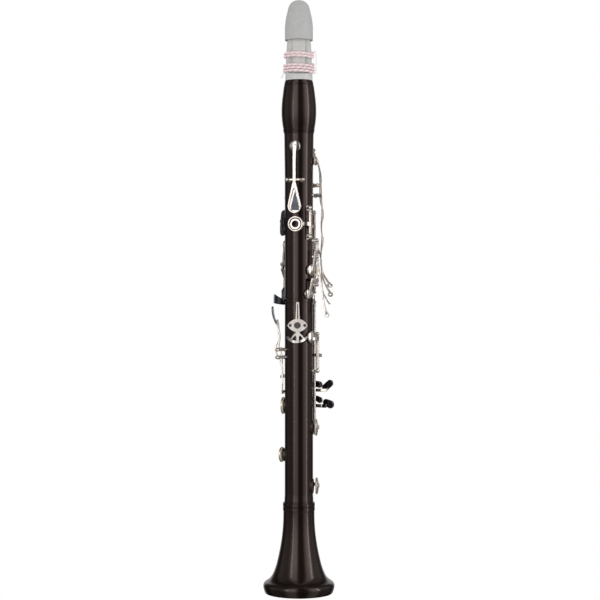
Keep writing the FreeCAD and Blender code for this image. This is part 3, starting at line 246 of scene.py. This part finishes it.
MATERIALS = {
    "grenadilla": blackwood(),
    "silver_plate": plated("silver_plate", SILVER),
    "satin_silver": plated("satin_silver", (0.94, 0.91, 0.89), (0.26, 0.34)),
    "dark_steel": plated("dark_steel", (0.12, 0.11, 0.115), (0.18, 0.3)),
    "steel_rod": plated("steel_rod", grey(0.5), (0.22, 0.34)),
    "pad_skin": speckled("pad_skin", (0.66, 0.56, 0.4), (0.85, 0.78, 0.64), 0.8, 0.45, 0.05),
    "cork": speckled("cork", (0.30, 0.18, 0.09), (0.62, 0.44, 0.27), 1.4, 0.8, 0.15),
    "ebonite": speckled("ebonite", grey(0.60), grey(0.65), 0.3, 0.4, 0.02),
    "cane": speckled("cane", (0.58, 0.575, 0.56), (0.66, 0.655, 0.64), 1.0, 0.5, 0.04, (3, 3, 0.08)),
    "cap_grey": speckled("cap_grey", grey(0.49), grey(0.52), 0.25, 0.5, 0.01),
    "cord_white": speckled("cord_white", (0.90, 0.86, 0.86), (0.98, 0.97, 0.96), 2.5, 0.85, 0.08,
                           (1, 1, 2)),
    "cord_pink": speckled("cord_pink", (0.86, 0.58, 0.62), (0.95, 0.74, 0.76), 2.5, 0.85, 0.08,
                          (1, 1, 2)),
}

# where each key's touch is painted dark, as painted shade and dark reflection: the two corners of a box
# round its touch, in millimetres
PAINTED_SHADE_TOUCHES = {
    "throat_g_sharp_key": ((-30, -30, 340), (-4, 30, 375)),
    "c_sharp_key": ((-30, -30, 270), (30, 30, 298)),
    "e_lever": ((-40, -30, 256), (-22.2, 30, 290)),
    "f_sharp_key": ((22.5, -30, 199), (60, 30, 214)),
    "f_touch_lever": ((14.5, -30, 198), (60, 30, 214)),
    "e_key": ((22.8, -30, 176), (60, 30, 192)),
    "a_flat_key": ((14.5, -30, 181), (60, 30, 192)),
}
# the dished face of the register key's touch, painted dark as a reflection of the dark room and as its
# shade
PAINTED_DISH_BOX = ((-7.6, -30, 371.5), (0.2, -10, 391))


# ---------------------------------------------------------------- finishing the CAD's own pieces

SHARP_ANGLE = math.radians(35)
ROUNDED_ANGLE = math.radians(38)
EDGE_WIDTH = 0.25 * MM
SKIN_VOXEL = 0.22 * MM
SKIN_PASSES = 5


def material_of(name):
    """The material of a CAD node, or None for one that another piece replaces."""
    # the touches and the register key's dish get painted shade and painted reflection inside their
    # boxes
    if name in PAINTED_SHADE_TOUCHES:
        return plated(name + "_plate", SILVER, painted_shade_box=PAINTED_SHADE_TOUCHES[name])
    if name == "register_key":
        return plated("register_painted_reflection", SILVER, painted_shade_box=PAINTED_DISH_BOX, shade_reflection_tone=PAINTED_DISH_TONE, slope=TAPERED)
    if name == "thumb_rest_screws":
        return MATERIALS["dark_steel"]
    if name in ("thumb_rest_plate", "thumb_rest_slide"):
        return MATERIALS["satin_silver"]
    return MATERIALS.get(SLOTS[name])


def dress(node, material):
    """Gives a CAD node its material and smooth shading, with its real edges kept."""
    mesh = node.data
    mesh.materials.clear()
    mesh.materials.append(material)
    mesh.polygons.foreach_set("use_smooth", [True] * len(mesh.polygons))
    mesh.set_sharp_from_angle(angle=SHARP_ANGLE)


def ease(node):
    """Breaks a node's sharp edges with a small rounding."""
    made = node.modifiers.new("Edge", "BEVEL")
    made.width = EDGE_WIDTH
    made.segments = 2
    made.limit_method = "ANGLE"
    made.angle_limit = ROUNDED_ANGLE
    made.harden_normals = True


def cast(node):
    """Softens a soldered or cast key so that its pieces flow into each other."""
    remesh = node.modifiers.new("Skin", "REMESH")
    remesh.mode = "VOXEL"
    remesh.voxel_size = SKIN_VOXEL
    remesh.use_smooth_shade = True
    smooth = node.modifiers.new("Flow", "SMOOTH")
    smooth.factor = 0.5
    smooth.iterations = SKIN_PASSES


def finish_nodes():
    """Gives each CAD node its material, and softens the keys and the edges of wood, ebonite and cap."""
    for name, node in NODES.items():
        material = material_of(name)
        if material:
            dress(node, material)
        if name.endswith(("_key", "_lever")):
            cast(node)
        elif SLOTS[name] in ("grenadilla", "ebonite", "cap_grey"):
            ease(node)


# ---------------------------------------------------------------- the cord ligature

CORD_RADIUS = 1.3 * MM
CORD_CLEARANCE = 0.12 * MM
STRAND_COUNT = 3
STRAND_RADIUS = CORD_RADIUS * 0.52
LOOP_RADIUS = 0.42 * MM
TAIL_RADIUS = 0.5 * MM

# how far each strand's centre lies from the cord's, and how far along the cord it goes round once
LAY_RADIUS = CORD_RADIUS * 0.5
LAY_PITCH = 5.5 * MM

# the steps in one turn of the cord, and how many degrees from the thumb's side a winding starts
TURN_STEPS = 72
FIRST_DEGREES = 80

# the mouthpiece's shank in millimetres: its radius, and how much it loses over a length
SHANK_RADIUS = 13.3
SHANK_LOSS = 1.3
SHANK_LENGTH = 29


def strand_curve(name, points, radius, material):
    """A round strand through points, as a curve with a bevel."""
    curve = bpy.data.curves.new(name, "CURVE")
    curve.dimensions = "3D"
    curve.bevel_depth = radius
    curve.bevel_resolution = 3
    curve.use_fill_caps = True
    line = curve.splines.new("POLY")
    line.points.add(len(points) - 1)
    for knot, place in zip(line.points, points):
        knot.co = (*place, 1)
    curve.materials.append(material)
    made = bpy.data.objects.new(name, curve)
    bpy.context.scene.collection.objects.link(made)
    return made


def frames_along(route):
    """For each point of a route: how far along it is, and two directions square to the route."""
    travelled = 0.0
    found = []
    for i, centre in enumerate(route):
        before, after = route[max(i - 1, 0)], route[min(i + 1, len(route) - 1)]
        ahead = after - before
        side = ahead.cross(Vector((0, 0, 1))).normalized()
        over = side.cross(ahead).normalized()
        if i:
            travelled += (centre - before).length
        found.append((travelled, side, over))
    return found


def laid(route):
    """The paths of the strands that are laid round a route."""
    frames = frames_along(route)
    paths = []
    for index in range(STRAND_COUNT):
        points = []
        for centre, (travelled, side, over) in zip(route, frames):
            turn = 2 * math.pi * (travelled / LAY_PITCH + index / STRAND_COUNT)
            points.append(centre + (side * math.cos(turn) + over * math.sin(turn)) * LAY_RADIUS)
        paths.append(points)
    return paths


def smoothed(points, steps=8):
    """A rounded path through points, by Catmull and Rom's rule."""
    ends = [points[0] * 2 - points[1]] + points + [points[-1] * 2 - points[-2]]
    path = []
    for a, b, c, d in zip(ends, ends[1:], ends[2:], ends[3:]):
        for i in range(steps):
            u = i / steps
            square = (a * 2 - b * 5 + c * 4 - d) * u * u
            cube = (b * 3 - a - c * 3 + d) * u * u * u
            path.append(((b * 2) + (c - a) * u + square + cube) * 0.5)
    return path + [points[-1]]


def wood_radius(z):
    """The mouthpiece's radius at a level: it narrows evenly from a little above the barrel."""
    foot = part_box("barrel")[1][2] + 4 * MM
    return (SHANK_RADIUS - SHANK_LOSS * max(0.0, (z - foot) / (SHANK_LENGTH * MM))) * MM


def winding(top, bottom, turns):
    """The middle line of the cord, wound round the mouthpiece from the top down."""
    steps = TURN_STEPS * turns
    route = []
    for i in range(steps + 1):
        share = i / steps
        z = top + (bottom - top) * share
        angle = math.radians(FIRST_DEGREES + 360 * turns * share)
        out = wood_radius(z) + CORD_RADIUS + CORD_CLEARANCE
        route.append(Vector((out * math.sin(angle), -out * math.cos(angle), z)))
    return route


def wound_strands(low, high):
    """The strands of two turns at the top of the cord and of three at its foot."""
    groups = ((high - 2.6 * MM, high - 7.6 * MM, 2), (low + 10.6 * MM, low + 2.4 * MM, 3))
    strands = []
    for number, (top, bottom, turns) in enumerate(groups):
        for index, points in enumerate(laid(winding(top, bottom, turns))):
            material = MATERIALS["cord_white" if index == 0 else "cord_pink"]
            name = "turns_%d_%d" % (number, index)
            strands.append(strand_curve(name, points, STRAND_RADIUS, material))
    return strands


def loop_strand(low, high):
    """The thin loop at the right that joins the two groups of turns."""
    side = 16.6 * MM
    points = [
        Vector((side - 2.2 * MM, -2.0 * MM, high - 2.6 * MM)),
        Vector((side - 0.6 * MM, -2.6 * MM, high - 1.2 * MM)),
        Vector((side, -2.8 * MM, high - 3.4 * MM)),
        Vector((side + 0.3 * MM, -2.8 * MM, (low + high) / 2)),
        Vector((side, -2.8 * MM, low + 4.0 * MM)),
        Vector((side - 0.5 * MM, -2.6 * MM, low + 1.4 * MM)),
        Vector((side - 2.2 * MM, -2.0 * MM, low + 2.2 * MM)),
    ]
    return strand_curve("loop", smoothed(points), LOOP_RADIUS, MATERIALS["cord_white"])


def tail_strand(low):
    """The loose end at the left, below the lower turns."""
    left = -wood_radius(low) - 1.0 * MM
    points = [
        Vector((left + 0.6 * MM, -3.5 * MM, low + 2.6 * MM)),
        Vector((left - 0.9 * MM, -4.2 * MM, low + 0.6 * MM)),
        Vector((left - 1.8 * MM, -4.6 * MM, low - 1.6 * MM)),
        Vector((left - 3.2 * MM, -4.8 * MM, low - 3.4 * MM)),
    ]
    return strand_curve("tail", smoothed(points), TAIL_RADIUS, MATERIALS["cord_white"])


def make_ligature():
    """A cord wound round the mouthpiece, with its loop and tail, as one piece for the CAD's cord."""
    low, high = (corner[2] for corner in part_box("ligature_cord"))
    strands = wound_strands(low, high) + [loop_strand(low, high), tail_strand(low)]
    bpy.ops.object.select_all(action="DESELECT")
    for strand in strands:
        strand.select_set(True)
    bpy.context.view_layer.objects.active = strands[0]
    bpy.ops.object.convert(target="MESH")
    bpy.ops.object.join()
    made = bpy.context.view_layer.objects.active
    made.name = "ligature_strands"
    made.select_set(False)
    made.data.polygons.foreach_set("use_smooth", [True] * len(made.data.polygons))
    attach(made, "barrel")
    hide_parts("ligature_cord")


# ---------------------------------------------------------------- stage, light and camera

FLOOR_LEVEL = CAD_BOX[0][2]
FLOOR_SIZE = 8

# where the camera and the strip lights point: about half way up, on the axis but for a millimetre
AIM = Vector((1.07 * MM, 0, FLOOR_LEVEL + 285 * MM))
CAMERA_DISTANCE = 1.5
LENS = 92.3

# how bright the studio is round the object: (degrees from the camera, light), left of it negative
STUDIO = [
    (-180, 0.26), (-168, 0.36), (-154, 0.36), (-144, 0.04), (-120, 0.02), (-98, 0.16),
    (-62, 0.14), (-46, 0.30), (-38, 0.80), (-14, 0.84), (-5, 0.14), (4, 0.03),
    (26, 0.05), (38, 0.45), (48, 0.80), (66, 0.80), (78, 0.22), (104, 0.20),
    (132, 0.04), (144, 0.04), (154, 0.36), (168, 0.36), (180, 0.26),
]
# and how that changes from straight below to straight above: (share of the way up, light)
STUDIO_HEIGHTS = [
    (0.22, 0.3), (0.42, 0.5), (0.47, 0.72), (0.53, 0.95), (0.62, 1.0), (0.84, 0.75), (0.97, 0.35),
]
STUDIO_STRENGTH = 2.2
FILL_STRENGTH = 0.8


def build_studio():
    """A world that the camera sees as white, and that mirrors as tall softboxes in a dark room.

    Matt surfaces get an even fill from it instead, so that the pale pieces stay soft.
    """
    world = bpy.data.worlds.new("Studio")
    bpy.context.scene.world = world
    world.use_nodes = True
    studio = Tree(world.node_tree)

    toward = studio.add("ShaderNodeTexCoord").outputs["Generated"]
    where = studio.add("ShaderNodeSeparateXYZ", [(toward, "Vector")]).outputs
    bearing = studio.math("ARCTAN2", where["X"], studio.math("MULTIPLY", where["Y"], -1.0))
    round_about = studio.rescaled(bearing, source=(-math.pi, math.pi))
    stops = [((at + 180) / 360, light) for at, light in STUDIO]
    softboxes = studio.ramp(round_about, stops, "EASE")
    fall_off = studio.ramp(studio.rescaled(where["Z"], source=(-1.0, 1.0)), STUDIO_HEIGHTS, "EASE")
    light = studio.math("MULTIPLY", studio.math("MULTIPLY", softboxes, fall_off), STUDIO_STRENGTH)

    mirrored = studio.tree.nodes["Background"]
    mirrored.inputs["Color"].default_value = (1, 0.985, 0.97, 1)
    studio.tree.links.new(light, mirrored.inputs["Strength"])
    fill = studio.add("ShaderNodeBackground", Color=(1, 0.99, 0.98, 1), Strength=FILL_STRENGTH)
    white = studio.add("ShaderNodeBackground", Color=(1, 1, 1, 1))
    rays = studio.add("ShaderNodeLightPath").outputs
    lit = studio.mixed(rays["Is Diffuse Ray"], mirrored.outputs[0], fill.outputs[0])
    seen = studio.mixed(rays["Is Camera Ray"], lit, white.outputs[0])
    studio.tree.links.new(seen, studio.tree.nodes["World Output"].inputs["Surface"])


def build_floor():
    """A pale floor, white to the camera, that the polished pieces don't mirror."""
    bpy.ops.mesh.primitive_plane_add(size=FLOOR_SIZE, location=(0, 0, FLOOR_LEVEL))
    floor = bpy.context.active_object
    floor.name = "floor"
    pale = Shader("pale_floor", grey(0.9), roughness=0.9)
    rays = pale.add("ShaderNodeLightPath").outputs
    glow = pale.add("ShaderNodeEmission", Strength=1.0)
    clear = pale.add("ShaderNodeBsdfTransparent")
    matt = pale.mixed(rays["Is Glossy Ray"], pale.surface.outputs[0], clear.outputs[0])
    seen = pale.mixed(rays["Is Camera Ray"], matt, glow.outputs[0])
    pale.tree.links.new(seen, pale.tree.nodes["Material Output"].inputs["Surface"])
    floor.data.materials.append(pale.material)


def strip_light(name, place, size, energy):
    """A tall strip light that faces the object."""
    light = bpy.data.lights.new(name, "AREA")
    light.shape = "RECTANGLE"
    light.size, light.size_y = size
    light.energy = energy
    made = bpy.data.objects.new(name, light)
    made.location = place
    made.rotation_euler = (AIM - Vector(place)).to_track_quat("-Z", "Y").to_euler()
    bpy.context.scene.collection.objects.link(made)


def build_camera():
    """A camera level with the object's middle, that looks straight at it."""
    camera = bpy.data.cameras.new("Camera")
    camera.sensor_width = 36
    camera.lens = LENS
    camera.clip_start = 0.05
    made = bpy.data.objects.new("Camera", camera)
    made.location = AIM + Vector((0, -CAMERA_DISTANCE, 0))
    made.rotation_euler = (math.pi / 2, 0, 0)
    bpy.context.scene.collection.objects.link(made)
    bpy.context.scene.camera = made


finish_nodes()
make_ligature()
build_floor()
build_studio()
strip_light("strip_left", (-0.9, -1.1, 0.45), (0.06, 1.1), 1.2)
strip_light("strip_right", (1.1, -0.5, 0.4), (0.08, 1.1), 1.6)
build_camera()
bpy.context.scene.view_settings.view_transform = "Standard"
